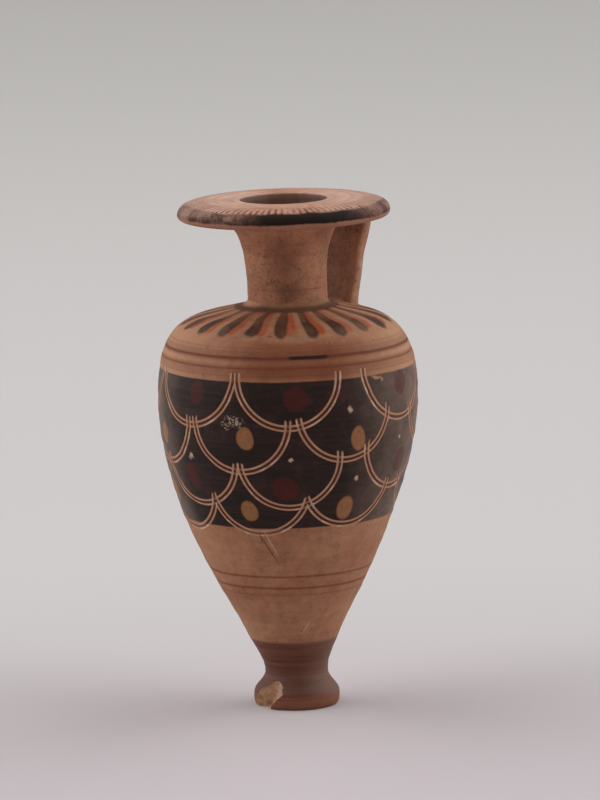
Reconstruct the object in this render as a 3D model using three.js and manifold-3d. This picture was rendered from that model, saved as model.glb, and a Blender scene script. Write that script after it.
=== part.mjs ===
// Aryballos: a small footed flask for scented oil, made of fired clay.
// Five pieces are thrown or cut from clay: foot, hollow body, neck, mouth plate and strap handle.
// Layers and rolls of wet clay, the luting, join them, and each is a solid of its own.
// Millimetres, +Z up. The origin is the centre of the resting face, and the handle stands at +Y.

import * as THREE from 'three';
import { mergeVertices } from 'three/addons/utils/BufferGeometryUtils.js';
import Module from 'manifold-3d';

const wasm = await Module();
wasm.setup();

// Facets round a turned piece, and straight steps along each curve of an outline
const facets = 40;
const curveSteps = 6;

// Gap between two pieces that meet on a curved face
const fitGap = 0.3;

// Foot
const footHeight = 8;
const footWaistRadius = 7.4;
const footEdgeRadius = 10.15;
const footEdgeHeight = 2.5;
const restingRadius = 9;
const footHollowRadius = 6.4;
const footHollowDepth = 1.25;

// Chunk broken out of the foot's edge: its direction, width and height
const chipTurn = THREE.MathUtils.degToRad(-11);
const chipTilt = THREE.MathUtils.degToRad(9);
const chipWidth = 9.8;
const chipHeight = 5;

// Body
const bodyHeight = 86.25;
const bellyRadius = 30.5;
const bellyHeight = 64.75;
const shoulderRadius = 19.5;
const shoulderDrop = 1.8;
const bodyWall = 3;
const bodyFloor = 5;
const floorRounding = 6;

// Lower body, a cone that starts at the waist and swells into the belly
const coneRadius = 13;
const coneHeight = 12.9;
const coneSlope = 0.47;

// Hole through the shoulder, neck and plate
const throatRadius = 6.4;

// Neck
const neckLength = 17.6;
const neckRadius = 9.35;
const neckTopRadius = 12;

// Mouth plate
const plateRadius = 24.9;
const plateDish = 0.9;
const rimThickness = 4.5;
const rimWidest = 1.7;
const plateEdgeRounding = 2.2;
const plateCrown = 7.9;
const mouthRadius = 10.1;
const funnelDepth = 4.6;

// Luting
const footLuting = 0.75;
const neckLuting = 1.5;
const neckLutingSpread = 2.2;
const plateLuting = 0.5;
const plateLutingProud = 0.9;
const handleLuting = 0.8;
const rootSpread = 1.2;

// Strap handle
const strapWidth = 16;
const strapThickness = 3;
const strapProud = 0.3;
const headDrop = 1;
const strapRootReach = 17.9;
const strapHang = 6;
const strapRise = 7.5;
const strapLean = 1.3;

// Heights of the joints, worked up from the resting face
const bodyBase = footHeight + footLuting;
const bodyTop = bodyBase + bodyHeight;
const neckBase = bodyTop + neckLuting;
const neckTop = neckBase + neckLength;
const plateBase = neckTop + plateLuting;
const plateHeight = plateDish + rimThickness;
const plateTop = plateBase + plateHeight;
const headTop = plateTop - headDrop;

// The roll of clay round the neck's root spreads out from it over the shoulder
const neckLutingRadius = neckRadius + neckLutingSpread;

// A turned solid from an outline of radius and height. The outline runs counter-clockwise.
function turned(outline) {
  return new THREE.LatheGeometry(outline, facets).rotateX(Math.PI / 2);
}

// A solid of constant width across X from a closed outline of Y and Z
function strapSolid(outline, width) {
  const options = { depth: width, bevelEnabled: false, curveSegments: curveSteps };
  const geometry = new THREE.ExtrudeGeometry(new THREE.Shape(outline), options);
  geometry.translate(0, 0, -width / 2);
  const toYZ = new THREE.Matrix4().makeBasis(
    new THREE.Vector3(0, 1, 0), new THREE.Vector3(0, 0, 1), new THREE.Vector3(1, 0, 0));
  return geometry.applyMatrix4(toYZ);
}

// A box between two corners
function block(low, high) {
  const size = new THREE.Vector3().subVectors(high, low);
  const centre = new THREE.Vector3().addVectors(low, high).multiplyScalar(0.5);
  return new THREE.BoxGeometry(size.x, size.y, size.z).translate(centre.x, centre.y, centre.z);
}

// Closed geometry to a solid that can be cut and joined
function toSolid(geometry) {
  const bare = geometry.clone();
  bare.deleteAttribute('normal');
  bare.deleteAttribute('uv');
  const merged = mergeVertices(bare, 1e-4);
  const index = merged.index.array;
  const triangles = [];
  for (let i = 0; i < index.length; i += 3) {
    const [a, b, c] = [index[i], index[i + 1], index[i + 2]];
    if (a !== b && b !== c && c !== a) triangles.push(a, b, c);
  }
  return new wasm.Manifold(new wasm.Mesh({
    numProp: 3,
    vertProperties: new Float32Array(merged.attributes.position.array),
    triVerts: new Uint32Array(triangles),
  }));
}

// A solid back to geometry
function toGeometry(solid) {
  const mesh = solid.getMesh();
  const geometry = new THREE.BufferGeometry();
  geometry.setAttribute('position', new THREE.BufferAttribute(mesh.vertProperties, 3));
  geometry.setIndex(new THREE.BufferAttribute(mesh.triVerts, 1));
  geometry.computeVertexNormals();
  return geometry;
}

// An outline moved outwards by a distance, or inwards where the distance is negative.
// The outline runs upwards along the outside of a turned piece.
function moved(outline, distance) {
  return outline.map((point, i) => {
    const before = outline[Math.max(i - 1, 0)];
    const after = outline[Math.min(i + 1, outline.length - 1)];
    const along = new THREE.Vector2().subVectors(after, before).normalize();
    return new THREE.Vector2(point.x + along.y * distance, point.y - along.x * distance);
  });
}

// The height of an outline where it passes a radius, read from its top end downwards
function heightAt(outline, radius) {
  for (let i = outline.length - 1; i > 0; i -= 1) {
    const inner = outline[i];
    const outer = outline[i - 1];
    if (outer.x >= radius) {
      const share = (radius - inner.x) / (outer.x - inner.x);
      return inner.y + share * (outer.y - inner.y);
    }
  }
  return outline[0].y;
}

// Outside of the body, from its seat on the foot to the flat ring under the neck
function bodyOutside() {
  const path = new THREE.Path();
  path.moveTo(footWaistRadius, 0);
  path.bezierCurveTo(
    footWaistRadius, coneHeight * 0.13,
    coneRadius - coneSlope * coneHeight * 0.77, coneHeight * 0.23,
    coneRadius, coneHeight);
  path.bezierCurveTo(
    coneRadius + coneSlope, coneHeight + 1,
    bellyRadius, bellyHeight - (bellyHeight - coneHeight) * 0.44,
    bellyRadius, bellyHeight);
  const crown = bodyHeight - shoulderDrop;
  path.bezierCurveTo(
    bellyRadius, bellyHeight + (crown - bellyHeight) * 0.51,
    bellyRadius - (bellyRadius - shoulderRadius) * 0.16, crown - shoulderDrop * 1.2,
    shoulderRadius, crown);
  path.lineTo(neckLutingRadius, bodyHeight);
  return path.getPoints(curveSteps);
}

// Inside of the body, from the throat down to the floor
function bodyInside(outside) {
  const wallLine = moved(outside, -bodyWall)
    .filter((p) => p.x > throatRadius && p.y > bodyFloor + floorRounding)
    .reverse();
  const lowest = wallLine[wallLine.length - 1];
  const underThroat = heightAt([...wallLine].reverse(), wallLine[0].x);
  const floor = new THREE.QuadraticBezierCurve(
    lowest, new THREE.Vector2(lowest.x * 0.75, bodyFloor), new THREE.Vector2(0, bodyFloor));
  return [
    new THREE.Vector2(throatRadius, underThroat),
    ...wallLine,
    ...floor.getPoints(curveSteps).slice(1),
  ];
}

const foot = () => {
  const path = new THREE.Path();
  path.moveTo(0, footHollowDepth);
  path.quadraticCurveTo(footHollowRadius * 0.9, footHollowDepth, footHollowRadius, 0);
  path.lineTo(restingRadius, 0);
  path.bezierCurveTo(
    restingRadius + (footEdgeRadius - restingRadius) * 0.8, 0,
    footEdgeRadius, footEdgeHeight * 0.5,
    footEdgeRadius, footEdgeHeight);
  path.bezierCurveTo(
    footEdgeRadius, footEdgeHeight + (footHeight - footEdgeHeight) * 0.4,
    footWaistRadius, footHeight - (footHeight - footEdgeHeight) * 0.4,
    footWaistRadius, footHeight);
  path.lineTo(0, footHeight);
  const whole = toSolid(turned(path.getPoints(curveSteps)));

  // The break is a nearly flat face across the edge, as wide as chipWidth at the resting face
  const breakReach = Math.sqrt(restingRadius ** 2 - (chipWidth / 2) ** 2);
  const chunk = block(
    new THREE.Vector3(-footEdgeRadius, -footEdgeRadius * 2, -chipHeight),
    new THREE.Vector3(footEdgeRadius, 0, chipHeight));
  chunk.rotateX(-chipTilt).translate(0, -breakReach, 0).rotateZ(chipTurn);
  return toGeometry(whole.subtract(toSolid(chunk)));
};

const body = () => {
  const outside = bodyOutside();
  return turned([
    new THREE.Vector2(0, 0),
    ...outside,
    new THREE.Vector2(throatRadius, bodyHeight),
    ...bodyInside(outside),
  ]);
};

// A turned ring round the throat: its outside is the path's, from the lower face to the upper
const ring = (path) => {
  const outside = path.getPoints(curveSteps);
  const lowest = outside[0].y;
  const highest = outside[outside.length - 1].y;
  return turned([
    new THREE.Vector2(throatRadius, lowest),
    ...outside,
    new THREE.Vector2(throatRadius, highest),
    new THREE.Vector2(throatRadius, lowest),
  ]);
};

const neck = () => {
  const path = new THREE.Path();
  path.moveTo(neckRadius, 0);
  path.bezierCurveTo(
    neckRadius * 0.97, neckLength * 0.47,
    neckRadius * 1.06, neckLength * 0.86,
    neckTopRadius, neckLength);
  return ring(path);
};

const footLutingDisc = () => turned([
  new THREE.Vector2(0, 0),
  new THREE.Vector2(footWaistRadius, 0),
  new THREE.Vector2(footWaistRadius, footLuting),
  new THREE.Vector2(0, footLuting),
]);

const neckLutingRing = () => {
  const path = new THREE.Path();
  path.moveTo(neckLutingRadius, 0);
  path.quadraticCurveTo(neckRadius, neckLuting * 0.4, neckRadius, neckLuting);
  return ring(path);
};

const plateLutingRing = () => {
  const path = new THREE.Path();
  path.moveTo(neckTopRadius, 0);
  path.quadraticCurveTo(neckTopRadius + plateLutingProud, 0, neckTopRadius + plateLutingProud, plateLuting);
  return ring(path);
};

// Where the strap's head meets the plate: a flat face across the back, with luting before it
const strapReach = plateRadius + strapProud;
const headSeat = strapReach - strapThickness;
const rimSeat = headSeat - handleLuting;

const mouthPlate = () => {
  const path = new THREE.Path();
  path.moveTo(throatRadius, 0);
  path.lineTo(neckTopRadius + plateLutingProud, 0);
  path.lineTo(plateRadius - plateEdgeRounding, plateDish);

  // The rim is widest low down, and the top falls to it in a soft crown
  const widest = plateDish + rimWidest;
  path.quadraticCurveTo(plateRadius, plateDish + rimWidest * 0.3, plateRadius, widest);
  path.bezierCurveTo(
    plateRadius, widest + (plateHeight - widest) * 0.53,
    plateRadius - plateCrown * 0.3, plateHeight,
    plateRadius - plateCrown, plateHeight);
  path.lineTo(mouthRadius, plateHeight);
  path.quadraticCurveTo(mouthRadius, plateHeight - funnelDepth, throatRadius, plateHeight - funnelDepth);
  path.lineTo(throatRadius, 0);
  const whole = toSolid(turned(path.getPoints(curveSteps)));

  // The rim is cut back flat where the strap's head fits
  const notch = block(
    new THREE.Vector3(-strapWidth / 2 - fitGap, rimSeat, -plateHeight),
    new THREE.Vector3(strapWidth / 2 + fitGap, plateRadius * 2, plateHeight * 2));
  return toGeometry(whole.subtract(toSolid(notch)));
};

const handleHeadLuting = () => block(
  new THREE.Vector3(-strapWidth / 2, rimSeat, plateTop - rimThickness),
  new THREE.Vector3(strapWidth / 2, headSeat, headTop));

// The body's full form, grown by a distance, to cut what stands on the shoulder
const shoulderLine = bodyOutside().map((p) => new THREE.Vector2(p.x, p.y + bodyBase));
const grownBody = (distance) => {
  const outside = moved(shoulderLine, distance);
  const lowest = outside[0].y;
  const highest = outside[outside.length - 1].y;
  return toSolid(turned([
    new THREE.Vector2(0, lowest),
    ...outside,
    new THREE.Vector2(0, highest),
  ]));
};
const rootHeight = heightAt(shoulderLine, strapRootReach);

const strapHandle = () => {
  const outer = new THREE.CubicBezierCurve(
    new THREE.Vector2(strapReach, headTop),
    new THREE.Vector2(strapReach, headTop - strapHang),
    new THREE.Vector2(strapRootReach + strapLean, rootHeight + strapRise),
    new THREE.Vector2(strapRootReach, rootHeight)).getPoints(curveSteps * 2);
  const ledge = plateTop - rimThickness - fitGap;
  const inner = moved(outer, strapThickness).filter((p) => p.y < ledge);
  const buried = rootHeight - bodyWall;
  const outline = [
    ...outer,
    new THREE.Vector2(strapRootReach, buried),
    new THREE.Vector2(strapRootReach - strapThickness, buried),
    ...inner.reverse(),
    new THREE.Vector2(headSeat, ledge),
    new THREE.Vector2(headSeat, headTop),
  ];
  const strap = toSolid(strapSolid(outline, strapWidth));
  return toGeometry(strap.subtract(grownBody(handleLuting + 2 * fitGap)));
};

const handleRootLuting = () => {
  const low = new THREE.Vector3(
    -strapWidth / 2 - rootSpread, strapRootReach - strapThickness - rootSpread, rootHeight - 2 * bodyWall);
  const high = new THREE.Vector3(
    strapWidth / 2 + rootSpread, strapRootReach + rootSpread, rootHeight + 2 * bodyWall);
  const column = toSolid(block(low, high));
  const layer = column.intersect(grownBody(handleLuting + fitGap));
  return toGeometry(layer.subtract(grownBody(fitGap)));
};

// Fired clay and the slips painted on it
const finishes = {
  buffClay: { color: '#a5785a', roughness: 0.8 },
  darkSlip: { color: '#34292a', roughness: 0.55 },
  redSlip: { color: '#7a4433', roughness: 0.7 },
  plateClay: { color: '#b9968a', roughness: 0.75 },
};

function piece(name, geometry, height, finish) {
  const { color, roughness } = finishes[finish];
  const material = new THREE.MeshStandardMaterial({ color, roughness, metalness: 0 });
  const mesh = new THREE.Mesh(geometry, material);
  mesh.name = name;
  mesh.position.z = height;
  return mesh;
}

const aryballos = new THREE.Group();
aryballos.add(
  piece('foot', foot(), 0, 'darkSlip'),
  piece('foot_luting', footLutingDisc(), footHeight, 'darkSlip'),
  piece('body', body(), bodyBase, 'darkSlip'),
  piece('neck_luting', neckLutingRing(), bodyTop, 'darkSlip'),
  piece('neck', neck(), neckBase, 'buffClay'),
  piece('plate_luting', plateLutingRing(), neckTop, 'buffClay'),
  piece('mouth_plate', mouthPlate(), plateBase, 'plateClay'),
  piece('handle_head_luting', handleHeadLuting(), 0, 'redSlip'),
  piece('handle_root_luting', handleRootLuting(), 0, 'redSlip'),
  piece('strap_handle', strapHandle(), 0, 'redSlip'),
);

export default aryballos;
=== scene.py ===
import math

import bpy
import numpy as np
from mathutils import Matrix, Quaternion, Vector


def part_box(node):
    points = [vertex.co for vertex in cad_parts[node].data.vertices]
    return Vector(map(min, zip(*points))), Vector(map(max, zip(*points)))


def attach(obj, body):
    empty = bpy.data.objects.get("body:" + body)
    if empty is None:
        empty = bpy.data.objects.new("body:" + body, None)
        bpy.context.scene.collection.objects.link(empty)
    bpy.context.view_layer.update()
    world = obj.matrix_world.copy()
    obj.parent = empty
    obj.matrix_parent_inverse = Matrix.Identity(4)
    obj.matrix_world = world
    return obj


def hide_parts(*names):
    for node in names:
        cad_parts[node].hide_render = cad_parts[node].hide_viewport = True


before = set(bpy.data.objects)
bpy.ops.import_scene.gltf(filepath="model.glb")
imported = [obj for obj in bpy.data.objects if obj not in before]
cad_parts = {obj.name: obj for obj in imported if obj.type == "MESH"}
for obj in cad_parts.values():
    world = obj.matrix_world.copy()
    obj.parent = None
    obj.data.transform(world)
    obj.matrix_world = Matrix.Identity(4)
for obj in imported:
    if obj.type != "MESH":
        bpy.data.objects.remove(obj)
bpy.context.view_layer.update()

# The camera stands well back on a long lens, a little above the flask and 35 degrees round from
# the side away from the handle. Its picture is turned slightly, so that the flask leans left.
MM = 0.001
VIEW_TURN = math.radians(35)
VIEW_DISTANCE = 1400 * MM
VIEW_HEIGHT = 296.6 * MM
VIEW_AIM_RIGHT = 2.8 * MM
VIEW_AIM_HEIGHT = 72.3 * MM
VIEW_ROLL = math.radians(1.33)
VIEW_LENS = 272.2

view_right = Vector((math.cos(VIEW_TURN), math.sin(VIEW_TURN), 0))
view_front = Vector((math.sin(VIEW_TURN), -math.cos(VIEW_TURN), 0))
view_stand = view_front * VIEW_DISTANCE + Vector((0, 0, VIEW_HEIGHT))
view_aim = view_right * VIEW_AIM_RIGHT + Vector((0, 0, VIEW_AIM_HEIGHT))

camera = bpy.data.objects.new("camera", bpy.data.cameras.new("camera"))
bpy.context.scene.collection.objects.link(camera)
camera.location = view_stand
camera.rotation_mode = "QUATERNION"
looking = (view_aim - view_stand).to_track_quat("-Z", "Y")
camera.rotation_quaternion = looking @ Quaternion((0, 0, 1), -VIEW_ROLL)
camera.data.lens = VIEW_LENS
camera.data.sensor_width = 36
camera.data.clip_end = 20
bpy.context.scene.camera = camera

# The floor and backdrop are one sweep of matt pale paper, which curves up a good way behind the
# flask. It is palest behind the flask, and darker and warmer in front of it.
SWEEP_WIDTH = 6000 * MM
SWEEP_NEAR = 2500 * MM
SWEEP_FAR = 2600 * MM
SWEEP_RISE = 2500 * MM
SWEEP_BEND = 700 * MM
PAPER_FRONT = "#cbc2c6"
PAPER_PALE = "#d3d0d0"
PAPER_FAR = "#cccac8"


def colour(sheet):
    """An sRGB hex colour as the linear one that sockets take."""
    parts = [int(sheet[i:i + 2], 16) / 255 for i in (1, 3, 5)]
    linear = [p / 12.92 if p <= 0.04045 else ((p + 0.055) / 1.055) ** 2.4 for p in parts]
    return (*linear, 1)


def add(tree, kind, inputs, **settings):
    """Add a shader node, set its settings, feed its inputs, and give its first working output."""
    node = tree.nodes.new("ShaderNode" + kind)
    for name, value in settings.items():
        setattr(node, name, value)
    for socket, value in inputs.items():
        if isinstance(value, bpy.types.NodeSocket):
            tree.links.new(value, node.inputs[socket])
        else:
            node.inputs[socket].default_value = value
    return next(output for output in node.outputs if output.enabled)


def finish_named(name, roughness):
    """A new material with its node tree and its shader."""
    material = bpy.data.materials.new(name)
    material.use_nodes = True
    shader = material.node_tree.nodes["Principled BSDF"]
    shader.inputs["Roughness"].default_value = roughness
    return material, material.node_tree, shader


def settle():
    """Select nothing, as every new piece starts."""
    bpy.ops.object.select_all(action="DESELECT")


settle()
bpy.ops.mesh.primitive_plane_add(size=1)
sweep = bpy.context.object
sweep.name = "paper_sweep"
bpy.ops.transform.resize(value=(SWEEP_WIDTH, SWEEP_NEAR + SWEEP_FAR, 1))
bpy.ops.transform.translate(value=(0, (SWEEP_FAR - SWEEP_NEAR) / 2, 0))
bpy.ops.object.transform_apply()
bpy.ops.object.mode_set(mode="EDIT")
bpy.ops.mesh.select_all(action="DESELECT")
bpy.ops.mesh.select_mode(type="EDGE")
bpy.ops.object.mode_set(mode="OBJECT")
for edge in sweep.data.edges:
    edge.select = all(sweep.data.vertices[v].co.y > SWEEP_FAR * 0.9 for v in edge.vertices)
bpy.ops.object.mode_set(mode="EDIT")
bpy.ops.mesh.extrude_region_move(TRANSFORM_OT_translate={"value": (0, 0, SWEEP_RISE)})
bpy.ops.mesh.select_all(action="DESELECT")
bpy.ops.object.mode_set(mode="OBJECT")
for edge in sweep.data.edges:
    ends = [sweep.data.vertices[v].co for v in edge.vertices]
    edge.select = all(end.y > SWEEP_FAR * 0.9 and end.z < SWEEP_BEND / 2 for end in ends)
bpy.ops.object.mode_set(mode="EDIT")
bpy.ops.mesh.bevel(offset=SWEEP_BEND, segments=24)
bpy.ops.mesh.select_all(action="SELECT")
bpy.ops.mesh.normals_make_consistent(inside=False)
bpy.ops.object.mode_set(mode="OBJECT")
bpy.ops.object.shade_smooth()
sweep.rotation_euler.z = VIEW_TURN
bpy.ops.object.transform_apply()

paper, tree, shader = finish_named("matt_background_paper", 0.9)
place = add(tree, "TexCoord", {}).node.outputs["Object"]
behind = add(tree, "VectorMath", {0: place, 1: -view_front}, operation="DOT_PRODUCT")
pale = add(tree, "MapRange", {0: behind, 1: -0.08, 2: 0.2}, interpolation_type="SMOOTHSTEP")
far = add(tree, "MapRange", {0: behind, 1: 0.5, 2: 1.5}, interpolation_type="SMOOTHSTEP")
tint = add(tree, "Mix", {0: pale, 6: colour(PAPER_FRONT), 7: colour(PAPER_PALE)}, data_type="RGBA")
tint = add(tree, "Mix", {0: far, 6: tint, 7: colour(PAPER_FAR)}, data_type="RGBA")
tree.links.new(tint, shader.inputs["Base Color"])
shader.inputs["Specular IOR Level"].default_value = 0.1
sweep.data.materials.append(paper)

# The light is a pale tent: a dim soft world, and a great soft lamp on each side, a little behind
# the flask, so that its edges are lighter than its middle.
TENT_SHEET = "#e9e7e4"
TENT_STRENGTH = 0.37
SIDE_LAMP_STRENGTH = 2.2
SIDE_LAMP_SPREAD = math.radians(90)
SIDE_LAMP_ROUND = math.radians(106)
SIDE_LAMP_RISE = math.radians(32)

world = bpy.data.worlds.new("tent")
bpy.context.scene.world = world
world.use_nodes = True
world.node_tree.nodes["Background"].inputs["Color"].default_value = colour(TENT_SHEET)
world.node_tree.nodes["Background"].inputs["Strength"].default_value = TENT_STRENGTH

for side, word in ((-1, "left"), (1, "right")):
    lamp = bpy.data.objects.new("lamp_" + word, bpy.data.lights.new("lamp_" + word, "SUN"))
    bpy.context.scene.collection.objects.link(lamp)
    lamp.data.energy = SIDE_LAMP_STRENGTH
    lamp.data.angle = SIDE_LAMP_SPREAD
    level = view_front * math.cos(SIDE_LAMP_ROUND) + view_right * side * math.sin(SIDE_LAMP_ROUND)
    stand = level * math.cos(SIDE_LAMP_RISE) + Vector((0, 0, math.sin(SIDE_LAMP_RISE)))
    lamp.rotation_euler = (-stand).to_track_quat("-Z", "Y").to_euler()

bpy.context.scene.view_settings.view_transform = "Standard"

# The foot is a thrown clay disc that spreads to a rounded edge, hollowed under its resting ring
# and painted with streaky dark slip. A flake is broken out of its edge and shows the bare clay.
WAIST_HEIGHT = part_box("foot")[1][2] / MM
FOOT_WAIST = 7.4
FOOT_EDGE = 10.15
FOOT_EDGE_HEIGHT = 2.5
FOOT_REST = 9
FOOT_HOLLOW = 6.4
FOOT_HOLLOW_DEPTH = 1.25
FLAKE_TURN = math.radians(-12)
FLAKE_MIDDLE = (0.6, -10.9, 2.2)
FLAKE_REACH = (6.0, 4.2, 5.9)
FLAKE_SIDES = ((0.72, 0, -0.7, 0.59), (0.3, 0.93, -0.2, -7.43), (-0.9, 0.4, 0.15, 1.0),
               (-0.35, 0.9, 0.25, -6.3), (0.75, 0.55, 0.35, 0.2))
FLAKE_ROUGH = 0.06
COLUMNS_SMALL = 192

# Fired clay, from pale to red, and what is painted on it
CLAY_BUFF = "#ae8060"
CLAY_RED = "#965d45"
CLAY_GREY = "#8a6a54"
CLAY_PALE = "#c69878"
CLAY_SPECK = "#4a2a20"
CLAY_CRUMB = "#cdb397"
SLIP_BLACK = "#221815"
SLIP_BROWN = "#5a3629"
SLIP_RED = "#8a4026"
FOOT_DARK = "#482a20"
FOOT_BROWN = "#744838"
FOOT_SHEEN = "#7b5d4e"
FOOT_WASH = "#6e3f26"
FLAKE_CLAY = "#d6a67a"
FLAKE_RED = "#c08e6a"
FLAKE_PINK = "#d8b09c"
FLAKE_BROWN = "#94664c"

# The flask was thrown by hand, so its middle strays from a straight line: heights and shifts
STRAY = ((0, 0.45), (9, 0.55), (17, 0.05), (34, -0.3), (47, -0.5), (62, -0.15), (80, 0.1),
         (90, -0.1), (97, 0.5), (105, 0.25), (112, 0.2), (114, 0), (120, 0))


def curve(*corners, step):
    """Points a step apart along a line or a Bezier curve through its first and last corner."""
    share = np.linspace(0, 1, 400)[:, None]
    line = [np.array(corner, float) for corner in corners]
    while len(line) > 1:
        line = [before * (1 - share) + after * share for before, after in zip(line, line[1:])]
    fine = line[0]
    travelled = np.concatenate(([0], np.cumsum(np.hypot(*np.diff(fine, axis=0).T))))
    stops = np.linspace(0, travelled[-1], max(1, round(travelled[-1] / step)) + 1)
    radii = np.interp(stops, travelled, fine[:, 0])
    heights = np.interp(stops, travelled, fine[:, 1])
    return list(zip(radii.tolist(), heights.tolist()))


def joined(*stretches):
    """Stretches of outline end to end, without the doubled points between them."""
    points = list(stretches[0])
    for stretch in stretches[1:]:
        points += stretch[1:]
    return points


def thrown(name, outline, columns):
    """A piece turned on the wheel: one point drawn along its outline of radius and height, then spun."""
    settle()
    bpy.ops.mesh.primitive_plane_add(size=MM)
    piece = bpy.context.object
    piece.name = name
    bpy.ops.object.mode_set(mode="EDIT")
    bpy.ops.mesh.select_mode(type="VERT")
    bpy.ops.mesh.merge(type="CENTER")
    radius, height = outline[0]
    bpy.ops.transform.translate(value=(radius * MM, 0, height * MM))
    for before, after in zip(outline, outline[1:]):
        move = ((after[0] - before[0]) * MM, 0, (after[1] - before[1]) * MM)
        bpy.ops.mesh.extrude_region_move(TRANSFORM_OT_translate={"value": move})
    bpy.ops.mesh.select_all(action="SELECT")
    bpy.ops.mesh.spin(steps=columns, angle=2 * math.pi, center=(0, 0, 0), axis=(0, 0, 1))
    bpy.ops.mesh.select_all(action="SELECT")
    bpy.ops.mesh.remove_doubles(threshold=0.002 * MM)
    bpy.ops.mesh.normals_make_consistent(inside=False)
    bpy.ops.object.mode_set(mode="OBJECT")
    bpy.ops.object.shade_smooth_by_angle(angle=math.radians(50))
    return piece


def points_of(piece):
    """The piece's points in mm, as rows of x, y and z."""
    flat = np.empty(len(piece.data.vertices) * 3, np.float32)
    piece.data.vertices.foreach_get("co", flat)
    return flat.reshape(-1, 3).astype(float) / MM


def set_points(piece, points):
    """Put the piece's points, in mm, where they are given."""
    piece.data.vertices.foreach_set("co", (points * MM).astype(np.float32).ravel())
    piece.data.update()


def ridged(piece, depth, seed):
    """Ridge the piece by a fraction of a millimetre, as fingers do on a turning pot."""
    rng = np.random.default_rng(seed)
    points = points_of(piece)
    turn = np.arctan2(points[:, 0], -points[:, 1])
    radius = np.hypot(points[:, 0], points[:, 1])
    swell = np.zeros(len(points))
    for wave in (2.3, 3.7, 6.1):
        start, lean = rng.uniform(0, 2 * math.pi, 2)
        swell += wave / 6 * np.sin(points[:, 2] * 2 * math.pi / wave + start + 0.8 * np.sin(turn + lean))
    swell += 1.2 * np.sin(2 * turn + rng.uniform(0, 2 * math.pi))
    grow = 1 + depth * swell / np.maximum(radius, 6)
    points[:, :2] *= grow[:, None]
    set_points(piece, points)


def strayed(piece):
    """Shift each height of the piece sideways by the stray of the hand-thrown middle line."""
    points = points_of(piece)
    heights, shifts = zip(*STRAY)
    shift = np.interp(points[:, 2], heights, shifts)
    set_points(piece, points + shift[:, None] * np.array(view_right))


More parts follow.
